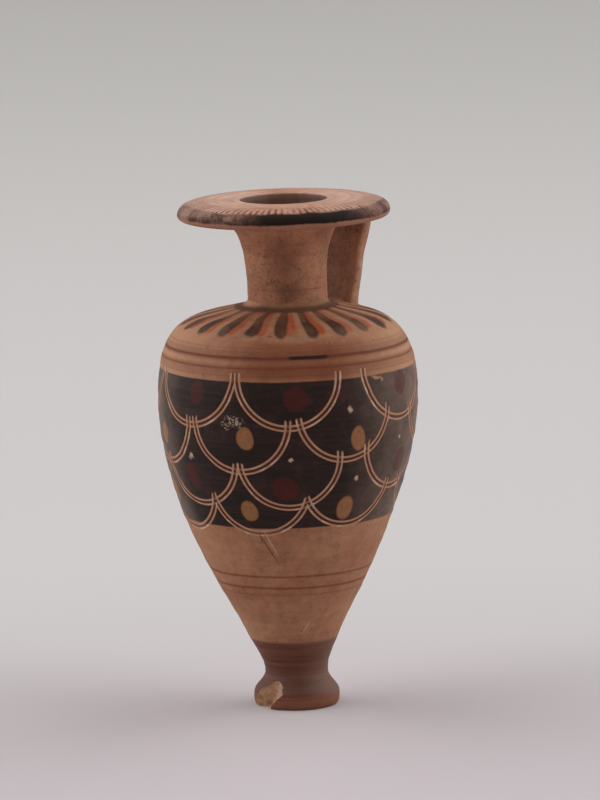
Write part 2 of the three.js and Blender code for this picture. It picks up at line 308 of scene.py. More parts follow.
def bare_clay(tree, buff=CLAY_BUFF, red=CLAY_RED, specks=0.3, wheel=1.0):
    """Fired clay: its place in mm, its colour, and the height of its grain and wheel marks."""
    place = add(tree, "TexCoord", {}).node.outputs["Object"]
    place = add(tree, "VectorMath", {0: place, "Scale": 1 / MM}, operation="SCALE")
    cloud = add(tree, "TexNoise", {"Vector": place, "Scale": 0.07, "Detail": 5, "Roughness": 0.6})
    patch = add(tree, "TexNoise", {"Vector": place, "Scale": 0.3, "Detail": 4, "Roughness": 0.7})
    grain = add(tree, "TexNoise", {"Vector": place, "Scale": 2.2, "Detail": 3, "Roughness": 0.7})
    drawn = add(tree, "VectorMath", {0: place, 1: (0.05, 0.05, 1.9)}, operation="MULTIPLY")
    rings = add(tree, "TexNoise", {"Vector": drawn, "Scale": 1.0, "Detail": 4, "Roughness": 0.65})
    warm = add(tree, "MapRange", {0: cloud, 1: 0.34, 2: 0.66, 3: 0.15, 4: 0.85})
    base = add(tree, "Mix", {0: warm, 6: colour(buff), 7: colour(red)}, data_type="RGBA")
    grey = add(tree, "MapRange", {0: patch, 1: 0.45, 2: 0.7, 3: 0.0, 4: 0.45})
    base = add(tree, "Mix", {0: grey, 6: base, 7: colour(CLAY_GREY)}, data_type="RGBA")
    light = add(tree, "MapRange", {0: rings, 1: 0.3, 2: 0.7, 3: 1 - 0.07 * wheel, 4: 1 + 0.06 * wheel})
    fine = add(tree, "MapRange", {0: grain, 1: 0.25, 2: 0.75, 3: 0.92, 4: 1.08})
    light = add(tree, "Math", {0: light, 1: fine}, operation="MULTIPLY")
    blotch = add(tree, "TexNoise", {"Vector": place, "Scale": 0.45, "Detail": 4, "Roughness": 0.6})
    blotch = add(tree, "MapRange", {0: blotch, 1: 0.3, 2: 0.7, 3: 0.84, 4: 1.14})
    light = add(tree, "Math", {0: light, 1: blotch}, operation="MULTIPLY")
    base = add(tree, "VectorMath", {0: base, "Scale": light}, operation="SCALE")
    # Dark pits and specks, mostly under 0.5 mm across, thicker in some patches, and pale crumbs
    pits = add(tree, "TexNoise", {"Vector": place, "Scale": 1.5, "Detail": 2, "Roughness": 0.6})
    pits = add(tree, "Math", {0: patch, 1: 0.3, 2: pits}, operation="MULTIPLY_ADD")
    start = 0.845 - 0.055 * specks
    speck = add(tree, "MapRange", {0: pits, 1: start, 2: start + 0.12, 4: 0.5})
    drawn = add(tree, "VectorMath", {0: place, 1: (0.8, 0.8, 1.25)}, operation="MULTIPLY")
    spots = add(tree, "TexNoise", {"Vector": drawn, "Scale": 1.0, "Detail": 4, "Roughness": 0.75})
    spots = add(tree, "Math", {0: cloud, 1: 0.5, 2: spots}, operation="MULTIPLY_ADD")
    start = 0.94 - 0.055 * specks
    spots = add(tree, "MapRange", {0: spots, 1: start, 2: start + 0.13, 4: 0.62})
    speck = add(tree, "Math", {0: speck, 1: spots}, operation="MAXIMUM")
    base = add(tree, "Mix", {0: speck, 6: base, 7: colour(CLAY_SPECK)}, data_type="RGBA")
    cells = add(tree, "TexVoronoi", {"Vector": place, "Scale": 0.6, "Randomness": 1.0})
    pick = add(tree, "SeparateColor", {0: cells.node.outputs["Color"]})
    size = add(tree, "MapRange", {0: pick, 1: 0.85, 2: 1.0, 3: 0.0, 4: 0.1})
    crumb = add(tree, "Math", {0: size, 1: cells}, operation="SUBTRACT")
    crumb = add(tree, "MapRange", {0: crumb, 1: 0.0, 2: 0.05, 4: 0.5})
    base = add(tree, "Mix", {0: crumb, 6: base, 7: colour(CLAY_CRUMB)}, data_type="RGBA")
    relief = add(tree, "Math", {0: rings, 1: 0.05 * wheel, 2: 0.0}, operation="MULTIPLY_ADD")
    relief = add(tree, "Math", {0: grain, 1: 0.03, 2: relief}, operation="MULTIPLY_ADD")
    relief = add(tree, "Math", {0: speck, 1: -0.04, 2: relief}, operation="MULTIPLY_ADD")
    return place, base, relief


def unsteady(tree, place, amount, scale):
    """A number that wanders round zero by up to the amount, as a hand does."""
    noise = add(tree, "TexNoise", {"Vector": place, "Scale": scale, "Detail": 3, "Roughness": 0.6})
    return add(tree, "MapRange", {0: noise, 1: 0.2, 2: 0.8, 3: -amount, 4: amount}, clamp=False)


def painted_ring(tree, height, low, high, soft):
    """How strongly paint covers a ring between two heights."""
    rise = add(tree, "MapRange", {0: height, 1: low - soft, 2: low + soft}, interpolation_type="SMOOTHSTEP")
    fall = add(tree, "MapRange", {0: height, 1: high + soft, 2: high - soft}, interpolation_type="SMOOTHSTEP")
    return add(tree, "Math", {0: rise, 1: fall}, operation="MULTIPLY")


def brush_streaks(tree, place):
    """Streaks that a brush leaves round a turning pot, from 0 to 1."""
    drawn = add(tree, "VectorMath", {0: place, 1: (0.05, 0.05, 1.15)}, operation="MULTIPLY")
    return add(tree, "TexNoise", {"Vector": drawn, "Scale": 1.0, "Detail": 5, "Roughness": 0.7})


def facing(tree, place, way):
    """How squarely a place on the flask faces a level direction, from -1 to 1."""
    flat = add(tree, "VectorMath", {0: place, 1: (1, 1, 0)}, operation="MULTIPLY")
    outward = add(tree, "VectorMath", {0: flat}, operation="NORMALIZE")
    return add(tree, "VectorMath", {0: outward, 1: way}, operation="DOT_PRODUCT")


def wire(tree, shader, base, relief, roughness, strength=1.0):
    """Join colour, roughness and relief in mm to the shader."""
    tree.links.new(base, shader.inputs["Base Color"])
    tree.links.new(roughness, shader.inputs["Roughness"])
    bump = add(tree, "Bump", {"Height": relief, "Distance": MM, "Strength": strength})
    tree.links.new(bump, shader.inputs["Normal"])


foot = thrown("foot", joined(
    curve((0, FOOT_HOLLOW_DEPTH), (FOOT_HOLLOW * 0.9, FOOT_HOLLOW_DEPTH), (FOOT_HOLLOW, 0.05), step=0.8),
    curve((FOOT_HOLLOW, 0.05), (FOOT_HOLLOW + 0.2, 0), step=0.2),
    curve((FOOT_HOLLOW + 0.2, 0), (FOOT_REST, 0), step=0.8),
    curve((FOOT_REST, 0), (9.9, 0), (FOOT_EDGE, 1.2), (FOOT_EDGE, FOOT_EDGE_HEIGHT), step=0.3),
    curve((FOOT_EDGE, FOOT_EDGE_HEIGHT), (FOOT_EDGE, 4.7), (FOOT_WAIST, 5.8), (FOOT_WAIST, WAIST_HEIGHT), step=0.3),
    curve((FOOT_WAIST, WAIST_HEIGHT), (0, WAIST_HEIGHT), step=2),
), COLUMNS_SMALL)

# The flake's clay is the same as the foot's, but fresh: matt, paler and grainy where it broke
flake_clay, tree, shader = finish_named("broken_earthenware", 0.9)
place, base, relief = bare_clay(tree, buff=FLAKE_CLAY, red=FLAKE_RED, specks=0.0, wheel=0.1)
crumble = add(tree, "TexNoise", {"Vector": place, "Scale": 0.9, "Detail": 5, "Roughness": 0.7})
core = add(tree, "TexNoise", {"Vector": place, "Scale": 0.33, "Detail": 3, "Roughness": 0.6})
pink = add(tree, "MapRange", {0: core, 1: 0.5, 2: 0.6})
base = add(tree, "Mix", {0: pink, 6: base, 7: colour(FLAKE_PINK)}, data_type="RGBA")
dark = add(tree, "MapRange", {0: core, 1: 0.46, 2: 0.36, 4: 0.8})
base = add(tree, "Mix", {0: dark, 6: base, 7: colour(FLAKE_BROWN)}, data_type="RGBA")
relief = add(tree, "Math", {0: crumble, 1: 1.2, 2: relief}, operation="MULTIPLY_ADD")
wire(tree, shader, base, relief, add(tree, "MapRange", {0: crumble, 3: 0.85, 4: 0.95}))

# The flake is cut away by a rough lump, whose flat sides leave facets as fired clay breaks
settle()
bpy.ops.mesh.primitive_ico_sphere_add(subdivisions=5, radius=MM)
lump = bpy.context.object
lump.name = "flake_cutter"
rough = np.random.default_rng(3)
lump_points = points_of(lump) * np.array(FLAKE_REACH) + np.array(FLAKE_MIDDLE)
for *side, limit in FLAKE_SIDES:
    side = np.array(side) / np.linalg.norm(side)
    over = lump_points @ side - limit
    lump_points -= np.where(over > 0, over, 0)[:, None] * side
for wave in (5, 3, 1.8, 1.1):
    along = rough.normal(size=3)
    along *= 2 * math.pi / wave / np.linalg.norm(along)
    lump_points[:, 1] += wave * FLAKE_ROUGH * np.sin(lump_points @ along + rough.uniform(0, 2 * math.pi))
flake_x = lump_points[:, 0] * math.cos(FLAKE_TURN) - lump_points[:, 1] * math.sin(FLAKE_TURN)
flake_y = lump_points[:, 0] * math.sin(FLAKE_TURN) + lump_points[:, 1] * math.cos(FLAKE_TURN)
set_points(lump, np.column_stack((flake_x, flake_y, lump_points[:, 2])))
lump.data.materials.append(flake_clay)

# Streaky slip on the foot: thin iron-rich slip over fired clay, satin where it is thick, with a painted grey sheen
# on its right side
slipped_foot, tree, shader = finish_named("slip_painted_foot", 0.6)
shader.inputs["Specular IOR Level"].default_value = 0.3
place, clay, relief = bare_clay(tree)
height = add(tree, "SeparateXYZ", {0: place}).node.outputs["Z"]
height = add(tree, "Math", {0: height, 1: unsteady(tree, place, 0.35, 0.12)}, operation="ADD")
streaks = brush_streaks(tree, place)
thin = add(tree, "MapRange", {0: streaks, 1: 0.3, 2: 0.72})
slip = add(tree, "Mix", {0: thin, 6: colour(FOOT_DARK), 7: colour(FOOT_BROWN)}, data_type="RGBA")
# Painted sheen: the slip goes greyer where the foot turns to the right
rub_and_sheen = add(tree, "MapRange", {0: facing(tree, place, view_right), 1: 0.15, 2: 0.9, 4: 0.6})
slip = add(tree, "Mix", {0: rub_and_sheen, 6: slip, 7: colour(FOOT_SHEEN)}, data_type="RGBA")
line = painted_ring(tree, height, 2.75, 3.15, 0.25)
slip = add(tree, "Mix", {0: line, 6: slip, 7: colour(SLIP_RED)}, data_type="RGBA")
wash_and_shade = add(tree, "Mix", {0: 0.65, 6: clay, 7: colour(FOOT_WASH)}, data_type="RGBA")
cover = add(tree, "MapRange", {0: height, 1: 2.2, 2: 2.8, 3: 0.0, 4: 0.95}, interpolation_type="SMOOTHSTEP")
base = add(tree, "Mix", {0: cover, 6: wash_and_shade, 7: slip}, data_type="RGBA")
wire(tree, shader, base, relief, add(tree, "MapRange", {0: cover, 3: 0.78, 4: 0.6}), 0.6)
foot.data.materials.append(slipped_foot)

cut = foot.modifiers.new("flake", "BOOLEAN")
cut.operation = "DIFFERENCE"
cut.solver = "EXACT"
cut.material_mode = "TRANSFER"
cut.object = lump
settle()
bpy.context.view_layer.objects.active = foot
foot.select_set(True)
bpy.ops.object.modifier_apply(modifier=cut.name)
bpy.data.objects.remove(lump)
ridged(foot, 0.03, 1)
strayed(foot)
bpy.ops.object.shade_smooth_by_angle(angle=math.radians(30))
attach(foot, "root")
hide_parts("foot")

# A layer of slip between foot and body, wiped flush while wet and painted over with them
FOOT_JOINT = 0.75
foot_joint = thrown("foot_luting", joined(
    curve((0, WAIST_HEIGHT), (FOOT_WAIST, WAIST_HEIGHT), step=2),
    curve((FOOT_WAIST, WAIST_HEIGHT), (FOOT_WAIST + 0.02, WAIST_HEIGHT + FOOT_JOINT / 2),
          (FOOT_WAIST, WAIST_HEIGHT + FOOT_JOINT), step=0.15),
    curve((FOOT_WAIST, WAIST_HEIGHT + FOOT_JOINT), (0, WAIST_HEIGHT + FOOT_JOINT), step=2),
), COLUMNS_SMALL)
strayed(foot_joint)
foot_joint.data.materials.append(slipped_foot)
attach(foot_joint, "root")
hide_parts("foot_luting")

# The body is thrown hollow, a cone that swells to a high belly and turns in to a flat shoulder.
# Its lines are cut through the dark slip with a compass of two points: each scale hangs below
# the place where the compass stood, so every cut lies at one of two distances from that place.
BODY_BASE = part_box("body")[0][2] / MM
BODY_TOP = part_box("body")[1][2] / MM
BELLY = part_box("body")[1][0] / MM
BELLY_HEIGHT = BODY_BASE + 64.75
SHOULDER = 19.5
SHOULDER_HEIGHT = BODY_TOP - 1.8
NECK_ROOT = 11.55
THROAT = 6.4
BODY_WALL = 3
CONE = 13
CONE_HEIGHT = BODY_BASE + 12.9
CONE_SLOPE = 0.47
BODY_FLOOR = BODY_BASE + 5
BAND_LOW = 46.2
BAND_HIGH = 81.3
CUT_INNER = 11.35
CUT_OUTER = 12.45
CUT_INNER_WIDTH = 0.48
CUT_OUTER_WIDTH = 0.44
CUT_DEPTH = 0.12
CUT_START = 10.0
CUT_LOW = 43.5
COLUMNS_BODY = 480
CUT_STEP = 0.42
OPEN_STEP = 1.3

# Each scale: the compass point's degrees round from the camera and height, then its blob's
# degrees, height, half width, half height and tilt. The first rows of each list are what the
# front shows, and the rest go on round the back at the same spacing.
RED_SCALES = (
    (-48.0, 82.4, -44.3, 78.3, 2.2, 2.9, 0), (-0.1, 82.4, 3.5, 77.3, 2.8, 3.1, 0),
    (59.0, 82.4, 59.6, 78.4, 2.4, 2.9, 0), (110.8, 82.9, 112.0, 77.8, 2.5, 3.0, 5),
    (161.1, 82.8, 160.5, 77.5, 2.6, 3.2, -5), (211.4, 82.6, 213.0, 77.3, 2.4, 3.1, 0),
    (261.7, 82.5, 262.0, 78.0, 2.5, 3.0, 8),
    (-48.4, 63.3, -51.2, 58.1, 2.3, 3.2, -15), (0.2, 62.9, -2.1, 56.1, 3.3, 2.7, 10),
    (60.2, 65.6, 63.2, 60.0, 2.4, 2.9, 0), (111.4, 65.2, 112.0, 58.9, 2.7, 2.9, 0),
    (161.9, 64.7, 160.5, 58.2, 2.6, 3.1, -10), (212.3, 64.2, 213.0, 57.8, 2.9, 2.8, 0),
    (262.8, 63.7, 262.0, 57.4, 2.6, 3.0, 5),
)
BUFF_SCALES = (
    (-71.9, 72.3, -72.5, 67.0, 2.0, 2.8, 0), (-22.8, 71.9, -19.6, 68.2, 2.1, 2.8, -8),
    (26.7, 74.2, 32.5, 67.2, 1.85, 3.0, 0), (90.0, 74.8, 90.0, 68.6, 2.1, 2.9, 0),
    (136.5, 74.2, 137.5, 68.0, 2.2, 2.8, 6), (187.0, 73.6, 187.0, 67.6, 2.0, 3.0, -6),
    (237.5, 72.8, 239.0, 67.3, 2.1, 2.9, 0),
    (-64.0, 56.3, -76.0, 53.0, 2.2, 2.9, 0), (-15.8, 56.3, -21.2, 50.6, 2.1, 2.9, -22),
    (31.2, 57.7, 28.8, 50.6, 2.5, 3.1, 8), (92.0, 58.0, 92.0, 51.4, 2.3, 2.8, 0),
    (140.0, 57.6, 140.0, 51.0, 2.2, 2.9, -8), (192.0, 57.1, 192.0, 50.8, 2.3, 2.9, 0),
    (244.0, 56.6, 243.0, 51.2, 2.2, 2.9, 6),
)

body_outside = joined(
    curve((FOOT_WAIST, BODY_BASE), (FOOT_WAIST, BODY_BASE + 1.7),
          (CONE - CONE_SLOPE * 9.93, BODY_BASE + 2.97), (CONE, CONE_HEIGHT), step=OPEN_STEP * 0.7),
    curve((CONE, CONE_HEIGHT), (CONE + CONE_SLOPE, CONE_HEIGHT + 1),
          (BELLY, BELLY_HEIGHT - (BELLY_HEIGHT - CONE_HEIGHT) * 0.44), (BELLY, BELLY_HEIGHT), step=0.1),
    curve((BELLY, BELLY_HEIGHT), (BELLY, BELLY_HEIGHT + (SHOULDER_HEIGHT - BELLY_HEIGHT) * 0.51),
          (BELLY - (BELLY - SHOULDER) * 0.16, SHOULDER_HEIGHT - 2.16), (SHOULDER, SHOULDER_HEIGHT), step=0.1),
    curve((SHOULDER, SHOULDER_HEIGHT), (NECK_ROOT, BODY_TOP), step=1),
)


def thinned(outline, low, high, fine, coarse):
    """The points of an outline that are a fine step apart between two heights, and a coarse step elsewhere."""
    kept = [outline[0]]
    for point in outline[1:-1]:
        step = fine if low < point[1] < high else coarse
        if math.dist(kept[-1], point) >= step:
            kept.append(point)
    return [*kept, outline[-1]]


body_outside = thinned(body_outside, BAND_LOW - 0.8, BAND_HIGH + 1.2, CUT_STEP, OPEN_STEP)
inner_belly = BELLY - BODY_WALL
body = thrown("body", joined(
    curve((0, BODY_BASE), (FOOT_WAIST, BODY_BASE), step=3),
    body_outside,
    curve((NECK_ROOT, BODY_TOP), (THROAT, BODY_TOP), step=3),
    curve((THROAT, BODY_TOP), (THROAT, BODY_TOP - BODY_WALL), step=3),
    curve((THROAT, BODY_TOP - BODY_WALL), (SHOULDER - 0.3, SHOULDER_HEIGHT - BODY_WALL), step=4),
    curve((SHOULDER - 0.3, SHOULDER_HEIGHT - BODY_WALL), (inner_belly - 1.5, SHOULDER_HEIGHT - BODY_WALL - 1.6),
          (inner_belly, BELLY_HEIGHT + 8.5), (inner_belly, BELLY_HEIGHT), step=4),
    curve((inner_belly, BELLY_HEIGHT), (inner_belly, BELLY_HEIGHT - 22), (CONE - 1.5, CONE_HEIGHT + 3.9),
          (CONE - 2.7, CONE_HEIGHT + 1), step=6),
    curve((CONE - 2.7, CONE_HEIGHT + 1), (CONE - 4.4, CONE_HEIGHT - 2.7), (5, BODY_FLOOR), (0, BODY_FLOOR), step=4),
), COLUMNS_BODY)
ridged(body, 0.045, 2)
strayed(body)

outside_heights = np.array([point[1] for point in body_outside])
outside_radii = np.array([point[0] for point in body_outside])


def on_body(degrees, height):
    """The place on the body's outside at some degrees round from the camera and a height, in mm."""
    turn = VIEW_TURN + math.radians(degrees)
    radius = float(np.interp(height, outside_heights, outside_radii))
    return Vector((radius * math.sin(turn), -radius * math.cos(turn), height))


# The compass cuts are real grooves: each point of the body close to a cut is pressed in. A lower
# row starts just inside the scales of the row above it.
SCALE_ROWS = ((RED_SCALES[:7], 0.8), (BUFF_SCALES[:7], 2.5), (RED_SCALES[7:], 2.5), (BUFF_SCALES[7:], 2.5))
points = points_of(body)
normals = np.empty(len(points) * 3, np.float32)
body.data.vertex_normals.foreach_get("vector", normals)
normals = normals.reshape(-1, 3)
outer_side = np.hypot(points[:, 0], points[:, 1]) > np.interp(points[:, 2], outside_heights, outside_radii) - 1.5
sunk = np.zeros(len(points))
row_above = np.full(len(points), 100.0)
for scales, rise in SCALE_ROWS:
    nearest = np.full(len(points), 100.0)
    for degrees, height, *_ in scales:
        distance = np.linalg.norm(points - np.array(on_body(degrees, height)), axis=1)
        nearest = np.where(points[:, 2] < height + rise, np.minimum(nearest, distance), nearest)
    cut_here = outer_side & (points[:, 2] > CUT_LOW) & (row_above > CUT_START)
    for reach, width in ((CUT_INNER, CUT_INNER_WIDTH), (CUT_OUTER, CUT_OUTER_WIDTH)):
        groove = np.exp(-((nearest - reach) / (width * 0.7)) ** 2)
        sunk = np.maximum(sunk, groove * cut_here)
    row_above = nearest
set_points(body, points - normals * (sunk * CUT_DEPTH)[:, None])

# Painted and cut body: buff to red earthenware, with matt clay where it is bare, and a satin
# iron slip, nearly black, that is brushed on in bands and worn to brown in patches; towards its
# left and right sides the slip is paler brown, partly wear and partly painted sheen.
TONGUES = 21
TONGUE_START = 0.63
TONGUE_TIP = 23.4
TONGUE_ROOT = 13
ROOT_RING = (9.9, 12.2)
BASE_SLIP_TOP = 16.3
SLIP_TONGUE = "#3a261e"
SLIP_TONGUE_RED = "#9c4524"
LINE_BROWN = "#5c2a1c"
LINE_RED = "#78371f"
BLOB_RED = "#541b15"
BLOB_BUFF = "#9c6b45"
CUT_PALE = "#d2b49c"
CUT_BROWN = "#b28366"
CUT_BETWEEN = "#552a20"
WORN_AND_SHEEN_SLIP = "#7a6256"
SCRAPED = "#bda08a"
SHOULDER_WASH_AND_SHADE = "#7a432a"

slipped_body, tree, shader = finish_named("slip_painted_body", 0.6)
shader.inputs["Specular IOR Level"].default_value = 0.17
place, clay, relief = bare_clay(tree, specks=1.3)
height = add(tree, "SeparateXYZ", {0: place}).node.outputs["Z"]
wavy = add(tree, "Math", {0: height, 1: unsteady(tree, place, 0.18, 0.06)}, operation="ADD")
shake = add(tree, "TexNoise", {"Vector": place, "Scale": 0.35, "Detail": 2, "Roughness": 0.6})
shake = add(tree, "VectorMath", {0: shake.node.outputs["Color"], 1: (0.5, 0.5, 0.5)}, operation="SUBTRACT")
shaken = add(tree, "VectorMath", {0: shake, 1: (2.2, 2.2, 2.2), 2: place}, operation="MULTIPLY_ADD")
streaks = brush_streaks(tree, place)


def nearest_cut(tree, place, height, scales, rise):
    """Distance from the nearest compass point whose arcs reach this height."""
    nearest = None
    for degrees, point_height, *_ in scales:
        far = add(tree, "VectorMath", {0: place, 1: on_body(degrees, point_height)}, operation="DISTANCE")
        over = add(tree, "Math", {0: height, 1: point_height + rise}, operation="GREATER_THAN")
        far = add(tree, "Math", {0: over, 1: 100.0, 2: far}, operation="MULTIPLY_ADD")
        nearest = far if nearest is None else add(tree, "Math", {0: nearest, 1: far}, operation="MINIMUM")
    return nearest


def nearest_spot(tree, place, spots):
    """How far out of the nearest oval spot, as a share of its size, so that 1 is its edge."""
    nearest = None
    for degrees, spot_height, half_width, half_height, tilt in spots:
        turn = (0, math.radians(tilt), VIEW_TURN + math.radians(degrees))
        oval = {"Vector": place, "Location": on_body(degrees, spot_height), "Rotation": turn,
                "Scale": (half_width, 8, half_height)}
        far = add(tree, "Mapping", oval, vector_type="TEXTURE")
        far = add(tree, "VectorMath", {0: far}, operation="LENGTH")
        nearest = far if nearest is None else add(tree, "Math", {0: nearest, 1: far}, operation="MINIMUM")
    return nearest


# Slip bands under the cut scales, worn to brown in patches, and paler brown on the left and right
# sides, partly wear and partly painted sheen; then the thin painted lines
band = painted_ring(tree, wavy, BAND_LOW, BAND_HIGH, 0.2)
rub = add(tree, "TexNoise", {"Vector": place, "Scale": 0.16, "Detail": 6, "Roughness": 0.72})
thin = add(tree, "MapRange", {0: streaks, 1: 0.42, 2: 0.68})
rub_and_sheen = add(tree, "MapRange", {0: rub, 1: 0.5, 2: 0.75, 4: 0.5})
streaked = add(tree, "MapRange", {0: streaks, 1: 0.45, 2: 0.8, 4: 0.45})
rub_and_sheen = add(tree, "Math", {0: rub_and_sheen, 1: streaked}, operation="MAXIMUM")
slip = add(tree, "Mix", {0: rub_and_sheen, 6: colour(SLIP_BLACK), 7: colour(SLIP_BROWN)}, data_type="RGBA")
sideways = facing(tree, place, view_right)
# Painted sheen with wear: the slip is paler brown where it turns away to the left and right
left_side = add(tree, "MapRange", {0: sideways, 1: -0.82, 2: -1.0, 4: 0.85})
right_side = add(tree, "MapRange", {0: sideways, 1: 0.45, 2: 1.0, 4: 1.0})
wear_and_sheen = add(tree, "Math", {0: left_side, 1: right_side}, operation="MAXIMUM")
# Painted side light, partly handling wear: bare clay is paler towards the left and right sides, more so higher up
to_side = add(tree, "Math", {0: sideways}, operation="ABSOLUTE")
to_side = add(tree, "MapRange", {0: to_side, 1: 0.45, 2: 0.95})
handled_and_side_lit = add(tree, "MapRange", {0: height, 1: 45, 2: 85, 3: 0.2, 4: 0.6})
handled_and_side_lit = add(tree, "Math", {0: handled_and_side_lit, 1: to_side}, operation="MULTIPLY")
clay = add(tree, "Mix", {0: handled_and_side_lit, 6: clay, 7: colour(CLAY_PALE)}, data_type="RGBA")
patchy = add(tree, "MapRange", {0: rub, 1: 0.35, 2: 0.6, 3: 0.4, 4: 1.0})
wear_and_sheen = add(tree, "Math", {0: wear_and_sheen, 1: patchy}, operation="MULTIPLY")
slip = add(tree, "Mix", {0: wear_and_sheen, 6: slip, 7: colour(WORN_AND_SHEEN_SLIP)}, data_type="RGBA")
base_slip = add(tree, "MapRange", {0: wavy, 1: BASE_SLIP_TOP + 0.4, 2: BASE_SLIP_TOP - 0.4})
low_thin = add(tree, "MapRange", {0: streaks, 1: 0.25, 2: 0.65})
low_slip = add(tree, "Mix", {0: low_thin, 6: colour(FOOT_DARK), 7: colour(FOOT_BROWN)}, data_type="RGBA")
sheen = add(tree, "MapRange", {0: sideways, 1: 0.15, 2: 0.9, 4: 0.5})
low_slip = add(tree, "Mix", {0: sheen, 6: low_slip, 7: colour(FOOT_SHEEN)}, data_type="RGBA")
base = add(tree, "Mix", {0: base_slip, 6: clay, 7: low_slip}, data_type="RGBA")
base = add(tree, "Mix", {0: band, 6: base, 7: slip}, data_type="RGBA")
paint = add(tree, "Math", {0: band, 1: base_slip}, operation="MAXIMUM")
LINE_HIGH = 86.6
# A brown wash on the shoulder, kept to the front between the sides: partly the wash and partly painted shade on the
# front
wash_and_shade = painted_ring(tree, wavy, 81.5, 90, 0.8)
front_from_left = add(tree, "MapRange", {0: sideways, 1: -0.6, 2: -0.15, 4: 0.7})
front_from_right = add(tree, "MapRange", {0: sideways, 1: 0.75, 2: 0.35, 4: 0.7})
shade_front_only = add(tree, "Math", {0: front_from_left, 1: front_from_right}, operation="MINIMUM")
wash_and_shade = add(tree, "Math", {0: wash_and_shade, 1: shade_front_only}, operation="MULTIPLY")
base = add(tree, "Mix", {0: wash_and_shade, 6: base, 7: colour(SHOULDER_WASH_AND_SHADE)}, data_type="RGBA")
LINES = (
    (LINE_HIGH, 0.3, 0.75, LINE_BROWN), (LINE_HIGH + 0.4, 1.1, 0.3, LINE_BROWN), (88.6, 0.2, 0.3, LINE_RED),
    (84.3, 0.2, 0.75, LINE_RED), (84.0, 1.0, 0.3, LINE_BROWN), (82.6, 0.3, 0.3, LINE_BROWN),
    (33.8, 0.25, 0.8, LINE_RED), (30.8, 0.25, 0.8, LINE_RED), (29.0, 0.25, 0.3, LINE_RED),
    (14.2, 0.2, 0.35, SLIP_RED), (11.8, 0.3, 0.15, SLIP_RED),
)
for line_height, half, strength, sheet in LINES:
    line = painted_ring(tree, wavy, line_height - half, line_height + half, 0.3)
    line = add(tree, "Math", {0: line, 1: strength}, operation="MULTIPLY")
    base = add(tree, "Mix", {0: line, 6: base, 7: colour(sheet)}, data_type="RGBA")

# One stretch of the upper line has thicker slip
DARK_RUN = ((10.0, LINE_HIGH, 4.4, 3, 0),)
line = painted_ring(tree, wavy, LINE_HIGH - 0.4, LINE_HIGH + 0.4, 0.15)
run = add(tree, "MapRange", {0: nearest_spot(tree, place, DARK_RUN), 1: 1.15, 2: 0.9, 4: 0.9})
run = add(tree, "Math", {0: run, 1: line}, operation="MULTIPLY")
base = add(tree, "Mix", {0: run, 6: base, 7: colour(SLIP_BLACK)}, data_type="RGBA")

# Tongues run from the neck's root to the edge of the shoulder: a red drop and a dark one over it
settled = add(tree, "TexNoise", {"Vector": place, "Scale": 0.16, "Detail": 0})
settled = add(tree, "VectorMath", {0: settled.node.outputs["Color"], 1: (0.5, 0.5, 0.5)}, operation="SUBTRACT")
settled = add(tree, "VectorMath", {0: settled, 1: (1.3, 1.3, 1.3), 2: place}, operation="MULTIPLY_ADD")
fading = add(tree, "TexNoise", {"Vector": place, "Scale": 0.13, "Detail": 4, "Roughness": 0.7})
fading = add(tree, "MapRange", {0: fading, 1: 0.38, 2: 0.58, 3: 0.25, 4: 1.0})
axes = add(tree, "SeparateXYZ", {0: settled}).node.outputs
away = add(tree, "Math", {0: axes["Y"], 1: -1.0}, operation="MULTIPLY")
turn = add(tree, "Math", {0: axes["X"], 1: away}, operation="ARCTAN2")
flat = add(tree, "VectorMath", {0: settled, 1: (1, 1, 0)}, operation="MULTIPLY")
radius = add(tree, "VectorMath", {0: flat}, operation="LENGTH")
pitch = add(tree, "Math", {0: radius, 1: 2 * math.pi / TONGUES}, operation="MULTIPLY")
half = add(tree, "MapRange", {0: radius, 1: TONGUE_ROOT, 2: TONGUE_TIP - 1, 3: 0.85, 4: 1.8})
filled = add(tree, "MapRange", {0: radius, 1: TONGUE_ROOT + 1, 2: TONGUE_TIP - 3, 3: 0.72, 4: 1.0})
above = add(tree, "Math", {0: height, 1: 88.0}, operation="GREATER_THAN")
beyond = add(tree, "MapRange", {0: radius, 1: TONGUE_ROOT - 1.3, 2: TONGUE_ROOT - 0.9})
beyond = add(tree, "Math", {0: above, 1: beyond}, operation="MULTIPLY")
for shift, tip, fatness, strength, thinnest, sheet in (
    (0.28, TONGUE_TIP - 0.5, 0.82, 0.92, 0.35, SLIP_TONGUE_RED), (0.0, TONGUE_TIP, 0.88, 0.95, 0.75, SLIP_TONGUE)):
    past = add(tree, "Math", {0: radius, 1: tip}, operation="SUBTRACT")
    past = add(tree, "Math", {0: past, 1: 0.0}, operation="MAXIMUM")
    count = {0: turn, 1: TONGUES / (2 * math.pi), 2: TONGUE_START - shift}
    share = add(tree, "Math", count, operation="MULTIPLY_ADD")
    share = add(tree, "Math", {0: share}, operation="FRACT")
    across = add(tree, "Math", {0: share, 1: 0.5}, operation="SUBTRACT")
    across = add(tree, "Math", {0: across, 1: pitch}, operation="MULTIPLY")
    corner = add(tree, "CombineXYZ", {0: across, 1: past, 2: 0.0})
    reach = add(tree, "VectorMath", {0: corner}, operation="LENGTH")
    reach = add(tree, "Math", {0: reach, 1: half}, operation="DIVIDE")
    drop = add(tree, "MapRange", {0: reach, 1: fatness + 0.2, 2: fatness - 0.2, 4: strength})
    kept = add(tree, "MapRange", {0: fading, 1: 0.25, 2: 1.0, 3: thinnest, 4: 1.0})
    drop = add(tree, "Math", {0: drop, 1: kept}, operation="MULTIPLY")
    drop = add(tree, "Math", {0: drop, 1: filled}, operation="MULTIPLY")
    drop = add(tree, "Math", {0: drop, 1: beyond}, operation="MULTIPLY")
    base = add(tree, "Mix", {0: drop, 6: base, 7: colour(sheet)}, data_type="RGBA")
    paint = add(tree, "Math", {0: paint, 1: drop}, operation="MAXIMUM")
